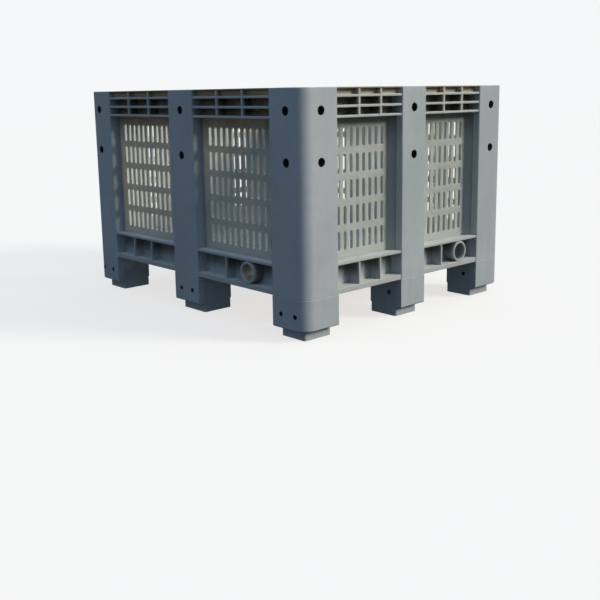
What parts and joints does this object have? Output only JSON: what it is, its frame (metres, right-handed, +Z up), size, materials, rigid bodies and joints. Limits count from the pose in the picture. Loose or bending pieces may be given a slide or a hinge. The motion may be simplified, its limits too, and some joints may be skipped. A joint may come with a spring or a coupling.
{
  "type": "vented pallet box",
  "caption": "Rigid open-top pallet box with slotted side walls, hollow posts, a ribbed rim with a stacking ledge, drain sockets and feet with four-way fork entry.",
  "frame": {"origin": "centre of the footprint on the ground plane of the feet", "axes": "+X along the long faces, +Y along the short faces, +Z up; the front is the long face at -Y"},
  "size_m": [1.2, 1, 0.76],
  "materials": {
    "frame_plastic": "moulded grey polyethylene, lightly scuffed",
    "panel_plastic": "thin moulded grey polyethylene, slotted",
    "foot_plastic": "moulded grey polyethylene, scuffed along its edges",
    "socket_plastic": "moulded grey polyethylene",
    "deck_plastic": "moulded grey polyethylene, dusty",
    "screw_steel": "zinc-plated steel"
  },
  "bodies": {
    "root": {"base_deck": "deck_plastic", "bottom_rail_back_a": "frame_plastic", "bottom_rail_back_b": "frame_plastic", "bottom_rail_front_a": "frame_plastic", "bottom_rail_front_b": "frame_plastic", "bottom_rail_left_a": "frame_plastic", "bottom_rail_left_b": "frame_plastic", "bottom_rail_right_a": "frame_plastic", "bottom_rail_right_b": "frame_plastic", "corner_post_back_left": "frame_plastic", "corner_post_back_right": "frame_plastic", "corner_post_front_left": "frame_plastic", "corner_post_front_right": "frame_plastic", "drain_socket_back": "socket_plastic", "drain_socket_front": "socket_plastic", "drain_socket_left": "socket_plastic", "drain_socket_right": "socket_plastic", "foot_back_left": "foot_plastic", "foot_back_middle": "foot_plastic", "foot_back_right": "foot_plastic", "foot_centre": "foot_plastic", "foot_front_left": "foot_plastic", "foot_front_middle": "foot_plastic", "foot_front_right": "foot_plastic", "foot_left_middle": "foot_plastic", "foot_right_middle": "foot_plastic", "foot_screws": "screw_steel", "mid_post_back": "frame_plastic", "mid_post_front": "frame_plastic", "mid_post_left": "frame_plastic", "mid_post_right": "frame_plastic", "rim_band_back_a": "frame_plastic", "rim_band_back_b": "frame_plastic", "rim_band_front_a": "frame_plastic", "rim_band_front_b": "frame_plastic", "rim_band_left_a": "frame_plastic", "rim_band_left_b": "frame_plastic", "rim_band_right_a": "frame_plastic", "rim_band_right_b": "frame_plastic", "vent_panel_back_a": "panel_plastic", "vent_panel_back_b": "panel_plastic", "vent_panel_front_a": "panel_plastic", "vent_panel_front_b": "panel_plastic", "vent_panel_left_a": "panel_plastic", "vent_panel_left_b": "panel_plastic", "vent_panel_right_a": "panel_plastic", "vent_panel_right_b": "panel_plastic"}
  },
  "joints": []
}
